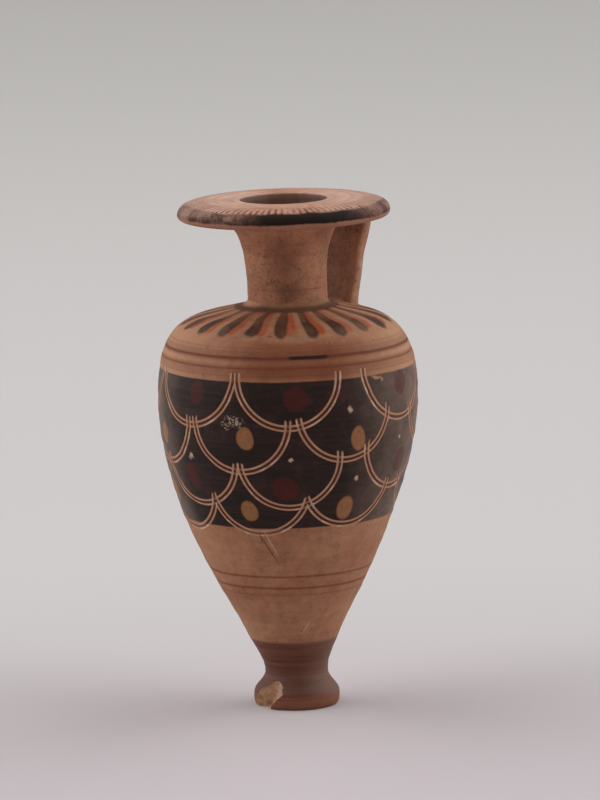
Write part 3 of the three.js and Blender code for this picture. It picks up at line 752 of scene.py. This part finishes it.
root = painted_ring(tree, radius, *ROOT_RING, 0.7)
root = add(tree, "Math", {0: root, 1: above}, operation="MULTIPLY")
root = add(tree, "Math", {0: root, 1: 0.75}, operation="MULTIPLY")
base = add(tree, "Mix", {0: root, 6: base, 7: colour(SLIP_TONGUE)}, data_type="RGBA")

# Blobs of added colour in the scales, laid on before the cuts
mottle = add(tree, "TexNoise", {"Vector": place, "Scale": 1.1, "Detail": 4, "Roughness": 0.75})
mottle = add(tree, "MapRange", {0: mottle, 1: 0.35, 2: 0.55, 3: 0.75, 4: 1.0})
for scales, sheet, strength, size in ((RED_SCALES, BLOB_RED, 0.62, 1.0), (BUFF_SCALES, BLOB_BUFF, 0.88, 0.92)):
    far = nearest_spot(tree, settled, [scale[2:] for scale in scales])
    edge = {0: far, 1: size + 0.13, 2: size - 0.13, 4: strength}
    blob = add(tree, "MapRange", edge, interpolation_type="SMOOTHSTEP")
    blob = add(tree, "Math", {0: blob, 1: mottle}, operation="MULTIPLY")
    base = add(tree, "Mix", {0: blob, 6: base, 7: colour(sheet)}, data_type="RGBA")

# The cuts go through the slip to the clay, and chalk has caught in parts of them
chalk = add(tree, "TexNoise", {"Vector": place, "Scale": 0.3, "Detail": 3, "Roughness": 0.6})
chalk = add(tree, "MapRange", {0: chalk, 1: 0.5, 2: 0.66})
above_row = None
for scales, rise in SCALE_ROWS:
    far = nearest_cut(tree, place, height, scales, rise)
    cut_here = add(tree, "Math", {0: height, 1: CUT_LOW}, operation="GREATER_THAN")
    if above_row is not None:
        ragged = add(tree, "Math", {0: above_row, 1: unsteady(tree, place, 0.5, 0.3)}, operation="ADD")
        clear = add(tree, "MapRange", {0: ragged, 1: CUT_START - 0.2, 2: CUT_START + 0.2})
        cut_here = add(tree, "Math", {0: cut_here, 1: clear}, operation="MULTIPLY")
    above_row = far
    between = painted_ring(tree, far, CUT_INNER, CUT_OUTER, 0.12)
    between = add(tree, "Math", {0: between, 1: cut_here}, operation="MULTIPLY")
    between = add(tree, "Math", {0: between, 1: 0.6}, operation="MULTIPLY")
    base = add(tree, "Mix", {0: between, 6: base, 7: colour(CUT_BETWEEN)}, data_type="RGBA")
    for reach, width, caught in ((CUT_INNER, CUT_INNER_WIDTH, 0.35), (CUT_OUTER, CUT_OUTER_WIDTH, 0.9)):
        cut = painted_ring(tree, far, reach - width / 2, reach + width / 2, 0.1)
        cut = add(tree, "Math", {0: cut, 1: cut_here}, operation="MULTIPLY")
        held = add(tree, "Math", {0: chalk, 1: caught}, operation="MULTIPLY")
        line = add(tree, "Mix", {0: held, 6: colour(CUT_BROWN), 7: colour(CUT_PALE)}, data_type="RGBA")
        base = add(tree, "Mix", {0: cut, 6: base, 7: line}, data_type="RGBA")
        bared = add(tree, "Math", {0: 1.0, 1: cut}, operation="SUBTRACT")
        paint = add(tree, "Math", {0: paint, 1: bared}, operation="MINIMUM")

# Small chips through the slip, a scrape below the band, and crackled patches of lime
CHIPS = ((27.9, 74.1, 0.5, 0.7, 0), (0.7, 63.1, 0.5, 0.6, 0), (33.3, 57.5, 0.5, 0.5, 0),
         (59.1, 65.7, 0.4, 0.4, 0), (-50.3, 63.0, 0.5, 0.4, 0))
BARED = ((43.3, 80.9, 1.3, 0.4, 12), (46.0, 80.0, 0.5, 0.5, 0))
SMEARS = ((-11.4, 42.1, 0.25, 2.9, -24), (-13.4, 44.2, 0.2, 1.6, -24), (14.2, 20.5, 0.25, 1.9, 25))
SCRAPES = ((-13.4, 41.2, 0.22, 3.9, -26), (-17.0, 43.6, 0.15, 1.5, -12))
CRACKLED = ((-24.3, 72.2, 2.3, 1.3, 12), (-28.5, 71.0, 1.3, 1.0, 0), (-50.3, 62.6, 1.0, 0.7, 0))
DUSTED = ((40, 34.2, 4.5, 1.1, 0), (50, 33.2, 3.2, 1.0, 0), (20, 29.6, 1.6, 0.6, 0),
          (-22.8, 90.9, 2.8, 0.6, 0), (9.4, 89.9, 2.6, 0.5, 0), (25.0, 89.6, 4.7, 0.6, 0))
for spots, where, strength, sheet in (
    (CHIPS, shaken, 0.95, SCRAPED), (BARED, shaken, 0.8, CLAY_BUFF),
    (SCRAPES, place, 0.6, LINE_BROWN), (SMEARS, place, 0.5, SCRAPED)):
    far = nearest_spot(tree, where, spots)
    flaw = add(tree, "MapRange", {0: far, 1: 1.3, 2: 0.7, 4: strength})
    base = add(tree, "Mix", {0: flaw, 6: base, 7: colour(sheet)}, data_type="RGBA")
    relief = add(tree, "Math", {0: flaw, 1: -0.07, 2: relief}, operation="MULTIPLY_ADD")
cracks = add(tree, "TexNoise", {"Vector": place, "Scale": 1.5, "Detail": 2, "Roughness": 0.6})
for spots, thick, strength in ((CRACKLED, 0.12, 0.75), (DUSTED, 0.35, 0.4)):
    far = nearest_spot(tree, shaken, spots)
    lime = add(tree, "MapRange", {0: far, 1: 1.3, 2: 0.5, 4: strength})
    grains = add(tree, "MapRange", {0: cracks, 1: 0.46, 2: 0.46 + thick})
    lime = add(tree, "Math", {0: lime, 1: grains}, operation="MULTIPLY")
    base = add(tree, "Mix", {0: lime, 6: base, 7: colour(SCRAPED)}, data_type="RGBA")
gloss = add(tree, "MapRange", {0: paint, 3: 0.78, 4: 0.5})
wire(tree, shader, base, relief, gloss, 0.7)
body.data.materials.append(slipped_body)
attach(body, "root")
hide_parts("body")

# A roll of soft clay pressed round the root of the neck and painted with the body
neck_joint_low, neck_joint_high = (corner[2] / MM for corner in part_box("neck_luting"))
NECK = 9.35
neck_joint = thrown("neck_luting", joined(
    curve((THROAT, neck_joint_low), (NECK_ROOT, neck_joint_low), step=1),
    curve((NECK_ROOT, neck_joint_low), (NECK, neck_joint_low + 0.6), (NECK, neck_joint_high), step=0.2),
    curve((NECK, neck_joint_high), (THROAT, neck_joint_high), step=1),
    curve((THROAT, neck_joint_high), (THROAT, neck_joint_low), step=1),
), COLUMNS_SMALL)
strayed(neck_joint)
neck_joint.data.materials.append(slipped_body)
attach(neck_joint, "root")
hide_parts("neck_luting")

# The neck is a thrown tube of bare clay that widens under the mouth plate, with fine wheel marks
neck_low, neck_high = (corner[2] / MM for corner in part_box("neck"))
NECK_TOP = 12.9
NECK_BUFF = "#bd845f"
NECK_RED = "#935236"
PATCH_AND_SHADE_BROWN = "#563020"
NECK_LENGTH = neck_high - neck_low
neck = thrown("neck", joined(
    curve((THROAT, neck_low), (NECK, neck_low), step=1.5),
    curve((NECK, neck_low), (NECK * 0.97, neck_low + NECK_LENGTH * 0.47),
          (NECK * 1.06, neck_low + NECK_LENGTH * 0.86), (NECK_TOP, neck_high), step=0.3),
    curve((NECK_TOP, neck_high), (THROAT, neck_high), step=2),
    curve((THROAT, neck_high), (THROAT, neck_low), step=2),
), COLUMNS_SMALL)
ridged(neck, 0.02, 5)
strayed(neck)

# Bare earthenware, thrown: matt, mottled buff and brown, with dark specks and wheel lines, and
# with brown clouds on its front, partly darker patches in the clay and partly painted shade
NECK_PATCHES_AND_SHADE = ((-2, 107, 4.5, 6, 0), (6, 99.5, 4, 3.5, 0))
neck_clay, tree, shader = finish_named("thrown_earthenware", 0.78)
place, base, relief = bare_clay(tree, buff=NECK_BUFF, red=NECK_RED, specks=2.4, wheel=1.3)
ragged = add(tree, "TexNoise", {"Vector": place, "Scale": 0.35, "Detail": 4, "Roughness": 0.7})
ragged = add(tree, "VectorMath", {0: ragged.node.outputs["Color"], 1: (0.5, 0.5, 0.5)}, operation="SUBTRACT")
ragged = add(tree, "VectorMath", {0: ragged, 1: (7, 7, 7), 2: place}, operation="MULTIPLY_ADD")
# Painted shade with darker patches: brown clouds on the neck's front, below the plate
patches_and_shade = add(tree, "MapRange", {0: nearest_spot(tree, ragged, NECK_PATCHES_AND_SHADE), 1: 1.2, 2: 0.5, 4: 0.5})
base = add(tree, "Mix", {0: patches_and_shade, 6: base, 7: colour(PATCH_AND_SHADE_BROWN)}, data_type="RGBA")
height = add(tree, "SeparateXYZ", {0: place}).node.outputs["Z"]
line = painted_ring(tree, height, neck_low + 2.9, neck_low + 3.2, 0.15)
line = add(tree, "Math", {0: line, 1: 0.35}, operation="MULTIPLY")
base = add(tree, "Mix", {0: line, 6: base, 7: colour(SLIP_BROWN)}, data_type="RGBA")
wire(tree, shader, base, relief, add(tree, "MapRange", {0: height, 1: neck_low, 2: neck_high, 3: 0.74, 4: 0.82}))
neck.data.materials.append(neck_clay)
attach(neck, "root")
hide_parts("neck")

# A ring of clay between neck and plate, left as a thin ridge
plate_joint_low, plate_joint_high = (corner[2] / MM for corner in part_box("plate_luting"))
PLATE_SEAT = NECK_TOP + 0.6
plate_joint = thrown("plate_luting", joined(
    curve((THROAT, plate_joint_low), (NECK_TOP, plate_joint_low), step=2),
    curve((NECK_TOP, plate_joint_low), (PLATE_SEAT, plate_joint_low), (PLATE_SEAT, plate_joint_high), step=0.15),
    curve((PLATE_SEAT, plate_joint_high), (THROAT, plate_joint_high), step=2),
    curve((THROAT, plate_joint_high), (THROAT, plate_joint_low), step=0.5),
), COLUMNS_SMALL)
strayed(plate_joint)
plate_joint.data.materials.append(neck_clay)
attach(plate_joint, "root")
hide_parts("plate_luting")

# The mouth plate is a thrown disc with a rounded rim and a small funnel down to the throat. Its
# top has short strokes painted round it, mostly worn off, and its rim a dark band.
plate_low, plate_high = (corner[2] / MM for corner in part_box("mouth_plate"))
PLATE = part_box("mouth_plate")[1][0] / MM
PLATE_UNDER = PLATE - 1.9
PLATE_DISH = 0.9
PLATE_CROWN = 7.9
MOUTH = 10.1
MOUTH_EDGE = 0.5
FUNNEL = 4.6
COLUMNS_PLATE = 288
PLATE_LEAN = math.radians(0.4)
under_rim = plate_low + PLATE_DISH
widest = under_rim + 1.5
plate = thrown("mouth_plate", joined(
    curve((THROAT, plate_low), (PLATE_SEAT, plate_low), step=1.5),
    curve((PLATE_SEAT, plate_low), (PLATE_UNDER, under_rim), step=0.8),
    curve((PLATE_UNDER, under_rim), (PLATE, under_rim + 0.15), (PLATE, widest), step=0.25),
    curve((PLATE, widest), (PLATE, widest + (plate_high - widest) * 0.68),
          (PLATE - PLATE_CROWN * 0.3, plate_high), (PLATE - PLATE_CROWN, plate_high), step=0.3),
    curve((PLATE - PLATE_CROWN, plate_high), (MOUTH + MOUTH_EDGE, plate_high), step=0.8),
    curve((MOUTH + MOUTH_EDGE, plate_high), (MOUTH, plate_high), (MOUTH, plate_high - MOUTH_EDGE), step=0.15),
    curve((MOUTH, plate_high - MOUTH_EDGE), (MOUTH, plate_high - FUNNEL), (THROAT, plate_high - FUNNEL), step=0.4),
    curve((THROAT, plate_high - FUNNEL), (THROAT, plate_low), step=1),
), COLUMNS_PLATE)
ridged(plate, 0.04, 7)
points = points_of(plate)
points[:, 2] += (points @ np.array(view_right)) * math.tan(PLATE_LEAN)
set_points(plate, points)
strayed(plate)

# Pinkish buff earthenware, thrown and burnished: nearly matt, with worn brown paint, and a painted pale sheen
# towards its left and right sides
STROKES = 96
STROKE_INNER = 18.3
STROKE_OUTER = 23.2
STROKE_HALF = 0.3
RIM_BAND_LOW = plate_high - 3.2
RIM_BAND_HIGH = plate_high - 0.75
RIM_BLACK_TURN = math.radians(13)
RIM_BLACK = "#0b0706"
RIM_BROWN = "#47291f"
PLATE_BUFF = "#d0a590"
PLATE_RED = "#ad745c"
PLATE_SHEEN = "#e0cabf"
PLATE_BELOW = "#93624a"
MOUTH_WALL_BROWN = "#4c3a31"
MOUTH_DEEP_SHADE = "#1a1310"
painted_plate, tree, shader = finish_named("burnished_plate_earthenware", 0.7)
shader.inputs["Specular IOR Level"].default_value = 0.1
place, base, relief = bare_clay(tree, buff=PLATE_BUFF, red=PLATE_RED, specks=0.8, wheel=1.0)
# Painted sheen: the plate goes paler where it turns to the left and right
side_sheen = add(tree, "Math", {0: facing(tree, place, view_right)}, operation="ABSOLUTE")
side_sheen = add(tree, "MapRange", {0: side_sheen, 1: 0.3, 2: 0.9, 4: 0.28})
base = add(tree, "Mix", {0: side_sheen, 6: base, 7: colour(PLATE_SHEEN)}, data_type="RGBA")
axes = add(tree, "SeparateXYZ", {0: place}).node.outputs
height = add(tree, "VectorMath", {0: place, 1: view_right}, operation="DOT_PRODUCT")
height = add(tree, "Math", {0: height, 1: -math.tan(PLATE_LEAN), 2: axes["Z"]}, operation="MULTIPLY_ADD")
away = add(tree, "Math", {0: axes["Y"], 1: -1.0}, operation="MULTIPLY")
turn = add(tree, "Math", {0: axes["X"], 1: away}, operation="ARCTAN2")
flat = add(tree, "VectorMath", {0: place, 1: (1, 1, 0)}, operation="MULTIPLY")
radius = add(tree, "VectorMath", {0: flat}, operation="LENGTH")
share = add(tree, "Math", {0: turn, 1: STROKES / (2 * math.pi), 2: 0.5}, operation="MULTIPLY_ADD")
share = add(tree, "Math", {0: share}, operation="FRACT")
across = add(tree, "Math", {0: share, 1: 0.5}, operation="SUBTRACT")
across = add(tree, "Math", {0: across, 1: radius}, operation="MULTIPLY")
across = add(tree, "Math", {0: across, 1: 2 * math.pi / STROKES}, operation="MULTIPLY")
across = add(tree, "Math", {0: across, 1: unsteady(tree, place, 0.35, 0.3)}, operation="ADD")
across = add(tree, "Math", {0: across}, operation="ABSOLUTE")
stroke = add(tree, "MapRange", {0: across, 1: STROKE_HALF + 0.15, 2: STROKE_HALF - 0.15})
reach = add(tree, "Math", {0: radius, 1: unsteady(tree, place, 0.8, 0.2)}, operation="ADD")
length = painted_ring(tree, reach, STROKE_INNER, STROKE_OUTER, 0.3)
on_top = add(tree, "Math", {0: height, 1: plate_high - 1.4}, operation="GREATER_THAN")
wear_and_sheen = add(tree, "TexNoise", {"Vector": place, "Scale": 0.22, "Detail": 6, "Roughness": 0.75})
left = add(tree, "MapRange", {0: wear_and_sheen, 1: 0.68, 2: 0.45, 4: 0.9})
near_rim = add(tree, "MapRange", {0: radius, 1: 18.5, 2: 21.5, 3: 0.4, 4: 1.0})
stroke = add(tree, "Math", {0: stroke, 1: length}, operation="MULTIPLY")
stroke = add(tree, "Math", {0: stroke, 1: on_top}, operation="MULTIPLY")
stroke = add(tree, "Math", {0: stroke, 1: left}, operation="MULTIPLY")
stroke = add(tree, "Math", {0: stroke, 1: near_rim}, operation="MULTIPLY")
base = add(tree, "Mix", {0: stroke, 6: base, 7: colour(SLIP_BROWN)}, data_type="RGBA")

# Rings of thin red slip between the strokes and the mouth, worn away in parts
ring = add(tree, "CombineXYZ", {0: radius, 1: 0.0, 2: 0.0})
ring = add(tree, "TexNoise", {"Vector": ring, "Scale": 0.7, "Detail": 3, "Roughness": 0.6})
ring = add(tree, "MapRange", {0: ring, 1: 0.45, 2: 0.65, 4: 0.25})
ring = add(tree, "Math", {0: ring, 1: on_top}, operation="MULTIPLY")
base = add(tree, "Mix", {0: ring, 6: base, 7: colour(SLIP_RED)}, data_type="RGBA")

# The rim's slip is black and whole on one side, and elsewhere lower, brown and worn, and the
# clay below it is dull and brown
below = add(tree, "MapRange", {0: height, 1: plate_high - 2.2, 2: plate_high - 3.4, 4: 0.8})
base = add(tree, "Mix", {0: below, 6: base, 7: colour(PLATE_BELOW)}, data_type="RGBA")
black_way = view_front * math.cos(RIM_BLACK_TURN) + view_right * math.sin(RIM_BLACK_TURN)
thick = add(tree, "Math", {0: facing(tree, place, black_way), 1: unsteady(tree, place, 0.05, 0.2)}, operation="ADD")
thick = add(tree, "MapRange", {0: thick, 1: 0.74, 2: 0.92})
wavy = add(tree, "Math", {0: height, 1: unsteady(tree, place, 0.3, 0.15)}, operation="ADD")
band = painted_ring(tree, wavy, RIM_BAND_LOW, RIM_BAND_HIGH, 0.25)
at_rim = add(tree, "MapRange", {0: radius, 1: PLATE - 3.2, 2: PLATE - 2.4})
band = add(tree, "Math", {0: band, 1: at_rim}, operation="MULTIPLY")
again = add(tree, "MapRange", {0: wear_and_sheen, 1: 0.54, 2: 0.44, 4: 0.5})
away = add(tree, "MapRange", {0: thick, 1: 0.0, 2: 0.5, 3: 0.7, 4: 0.0})
again = add(tree, "Math", {0: again, 1: away}, operation="MULTIPLY")
thick = add(tree, "Math", {0: thick, 1: again}, operation="MAXIMUM")
slip = add(tree, "Mix", {0: thick, 6: colour(RIM_BROWN), 7: colour(RIM_BLACK)}, data_type="RGBA")
upper = add(tree, "MapRange", {0: height, 1: plate_high - 2.6, 2: plate_high - 1.2, 3: 0.0, 4: 0.14})
knocked = add(tree, "MapRange", {0: facing(tree, place, view_right), 1: -0.7, 2: -0.95, 3: 0.0, 4: 0.12})
upper = add(tree, "Math", {0: upper, 1: knocked}, operation="ADD")
patches = add(tree, "Math", {0: wear_and_sheen, 1: upper}, operation="ADD")
patches = add(tree, "MapRange", {0: patches, 1: 0.46, 2: 0.68, 3: 0.94, 4: 0.5})
cover = add(tree, "Mix", {0: thick, 2: patches, 3: 0.97})
band = add(tree, "Math", {0: band, 1: cover}, operation="MULTIPLY")
base = add(tree, "Mix", {0: band, 6: base, 7: slip}, data_type="RGBA")
paint = add(tree, "Math", {0: band, 1: stroke}, operation="MAXIMUM")

# The wall of the mouth is painted dark brown, going nearly black lower down as painted shade inside the hole
inside = add(tree, "MapRange", {0: radius, 1: MOUTH + 0.25, 2: MOUTH - 0.1, 4: 0.8})
deep_shade = add(tree, "MapRange", {0: height, 1: plate_high - 2, 2: plate_high - 4.5})
mouth_wall_and_shade = add(tree, "Mix", {0: deep_shade, 6: colour(MOUTH_WALL_BROWN), 7: colour(MOUTH_DEEP_SHADE)}, data_type="RGBA")
base = add(tree, "Mix", {0: inside, 6: base, 7: mouth_wall_and_shade}, data_type="RGBA")
wire(tree, shader, base, relief, add(tree, "MapRange", {0: paint, 3: 0.72, 4: 0.62}), 0.8)
plate.data.materials.append(painted_plate)
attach(plate, "root")
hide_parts("mouth_plate")

# The handle is a strap of clay pulled flat, pressed to the plate's back edge and bent down to
# the shoulder, where it is thumbed out. It is as broad as the mouth is wide.
strap_low, strap_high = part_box("strap_handle")
STRAP_WIDTH = 16
STRAP_THICK = 2.9
STRAP_TOP = strap_high[2] / MM
STRAP_HANG = 6
STRAP_REACH = strap_high[1] / MM + 0.2
STRAP_ROOT = 17.7
STRAP_HEAD_SPREAD = 1.9
STRAP_ROOT_HEIGHT = 92.6
STRAP_BUFF = "#bd8c6b"
STRAP_RED = "#a0684d"
strap_line = curve((STRAP_REACH, STRAP_TOP), (STRAP_REACH, STRAP_TOP - STRAP_HANG), (19.2, 101),
                   (STRAP_ROOT, STRAP_ROOT_HEIGHT), step=1.1)


def strap_slices(line):
    """Each level slice of the strap: the middle's y and height, the thickness and the width."""
    slices = []
    for i, (reach, height) in enumerate(line):
        before = line[max(i - 1, 0)]
        after = line[min(i + 1, len(line) - 1)]
        lean = math.atan2(before[0] - after[0], before[1] - after[1])
        thick = STRAP_THICK / math.cos(lean)
        down = (line[0][1] - height) / (line[0][1] - line[-1][1])
        flare = max(0, (down - 0.72) / 0.28) ** 2
        width = STRAP_WIDTH * (1 + 0.06 * flare) + STRAP_HEAD_SPREAD * (1 - down) ** 2
        slices.append((reach - thick / 2, height, thick * (1 + 0.5 * flare), width))
    return slices


slices = strap_slices(strap_line)
settle()
bpy.ops.mesh.primitive_plane_add(size=1)
strap = bpy.context.object
strap.name = "strap_handle"
bpy.ops.transform.resize(value=(slices[0][3] * MM, slices[0][2] * MM, 1))
bpy.ops.transform.translate(value=(0, slices[0][0] * MM, slices[0][1] * MM))
bpy.ops.object.transform_apply()
bpy.ops.object.mode_set(mode="EDIT")
bpy.ops.mesh.select_mode(type="FACE")
bpy.ops.mesh.select_all(action="SELECT")
for before, after in zip(slices, slices[1:]):
    move = (0, (after[0] - before[0]) * MM, (after[1] - before[1]) * MM)
    bpy.ops.mesh.extrude_region_move(TRANSFORM_OT_translate={"value": move})
    centre = (0, after[0] * MM, after[1] * MM)
    bpy.ops.transform.resize(value=(after[3] / before[3], after[2] / before[2], 1), center_override=centre)
bpy.ops.mesh.select_all(action="SELECT")
bpy.ops.mesh.normals_make_consistent(inside=False)
bpy.ops.object.mode_set(mode="OBJECT")
rounding = strap.modifiers.new("rounding", "BEVEL")
rounding.width = 1.1 * MM
rounding.segments = 3
rounding.limit_method = "ANGLE"
rounding.angle_limit = math.radians(50)
smooth = strap.modifiers.new("smooth", "SUBSURF")
smooth.levels = smooth.render_levels = 2
for modifier in list(strap.modifiers):
    bpy.ops.object.modifier_apply(modifier=modifier.name)


def hand_shaped(piece, depth, seed):
    """Uneven a hand-shaped piece by a fraction of a millimetre."""
    rng = np.random.default_rng(seed)
    points = points_of(piece)
    move = np.zeros_like(points)
    for wave in (11, 6, 3.5):
        for axis in range(3):
            along = rng.normal(size=3)
            along *= 2 * math.pi / wave / np.linalg.norm(along)
            move[:, axis] += wave / 11 * np.sin(points @ along + rng.uniform(0, 2 * math.pi))
    set_points(piece, points + depth * move)


hand_shaped(strap, 0.12, 11)
bpy.ops.object.shade_smooth()
strayed(strap)

# Red-brown slip brushed down the strap, worn to clay along its edges, and thinner towards the top as painted light
# where the plate shades the strap
painted_strap, tree, shader = finish_named("slip_brushed_strap", 0.65)
place, clay, relief = bare_clay(tree, buff=STRAP_BUFF, red=STRAP_RED, specks=2.0, wheel=0.4)
drawn = add(tree, "VectorMath", {0: place, 1: (0.9, 0.9, 0.08)}, operation="MULTIPLY")
brushed = add(tree, "TexNoise", {"Vector": drawn, "Scale": 1.0, "Detail": 5, "Roughness": 0.7})
cover = add(tree, "MapRange", {0: brushed, 1: 0.35, 2: 0.62, 3: 0.45, 4: 0.0})
axes = add(tree, "SeparateXYZ", {0: place}).node.outputs
off_middle = add(tree, "Math", {0: axes["X"]}, operation="ABSOLUTE")
edge = add(tree, "MapRange", {0: off_middle, 1: 7.6, 2: 6.8})
cover = add(tree, "Math", {0: cover, 1: edge}, operation="MULTIPLY")
# Painted light: less slip towards the top, so the strap is lighter where the plate's shade falls on it
painted_top_light = add(tree, "MapRange", {0: axes["Z"], 1: 112, 2: 98, 3: 0.35, 4: 1.0})
cover = add(tree, "Math", {0: cover, 1: painted_top_light}, operation="MULTIPLY")
base = add(tree, "Mix", {0: cover, 6: clay, 7: colour(SLIP_BROWN)}, data_type="RGBA")
wire(tree, shader, base, relief, add(tree, "MapRange", {0: cover, 3: 0.76, 4: 0.58}))
strap.data.materials.append(painted_strap)
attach(strap, "root")
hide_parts("strap_handle")

# A pad of soft clay under the strap's root, thumbed out flat over the shoulder
settle()
bpy.ops.mesh.primitive_uv_sphere_add(segments=64, ring_count=32, radius=1)
pad = bpy.context.object
pad.name = "handle_root_luting"
bpy.ops.transform.resize(value=(10.4 * MM, 4.3 * MM, 2.0 * MM))
bpy.ops.object.transform_apply()
bpy.ops.object.mode_set(mode="EDIT")
bpy.ops.mesh.select_all(action="SELECT")
bpy.ops.transform.translate(value=(0, 16.9 * MM, 93.0 * MM))
bpy.ops.object.mode_set(mode="OBJECT")
points = points_of(pad)
radius = np.hypot(points[:, 0], points[:, 1])
drop = (radius - 17) * 0.24 + np.maximum(radius - 19, 0) * 0.25
points[:, 2] -= drop
set_points(pad, points)
hand_shaped(pad, 0.1, 13)
bpy.ops.object.shade_smooth()
strayed(pad)
pad.data.materials.append(painted_strap)
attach(pad, "root")
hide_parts("handle_root_luting")

# Clay smeared into the corner between the strap's head and the plate, to hold them together
head_low, head_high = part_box("handle_head_luting")
HEAD_THICK = 1.6
HEAD_DROP = 1.2
head_middle = (head_low[1] + head_high[1]) / 2
head_size = ((STRAP_WIDTH - 0.8) * MM, HEAD_THICK * MM, head_high[2] - head_low[2] + HEAD_DROP * MM)
settle()
bpy.ops.mesh.primitive_cube_add(size=1)
smear = bpy.context.object
smear.name = "handle_head_luting"
bpy.ops.transform.resize(value=head_size)
bpy.ops.transform.translate(value=(0, head_middle, (head_low[2] + head_high[2] - HEAD_DROP * MM) / 2))
bpy.ops.object.transform_apply()
bpy.ops.object.mode_set(mode="EDIT")
bpy.ops.mesh.select_all(action="SELECT")
bpy.ops.mesh.bevel(offset=0.5 * MM, segments=2)
bpy.ops.mesh.subdivide(number_cuts=1)
bpy.ops.object.mode_set(mode="OBJECT")
smooth = smear.modifiers.new("smooth", "SUBSURF")
smooth.levels = smooth.render_levels = 2
bpy.ops.object.modifier_apply(modifier=smooth.name)
hand_shaped(smear, 0.08, 17)
bpy.ops.object.shade_smooth()
strayed(smear)
smear.data.materials.append(painted_strap)
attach(smear, "root")
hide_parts("handle_head_luting")
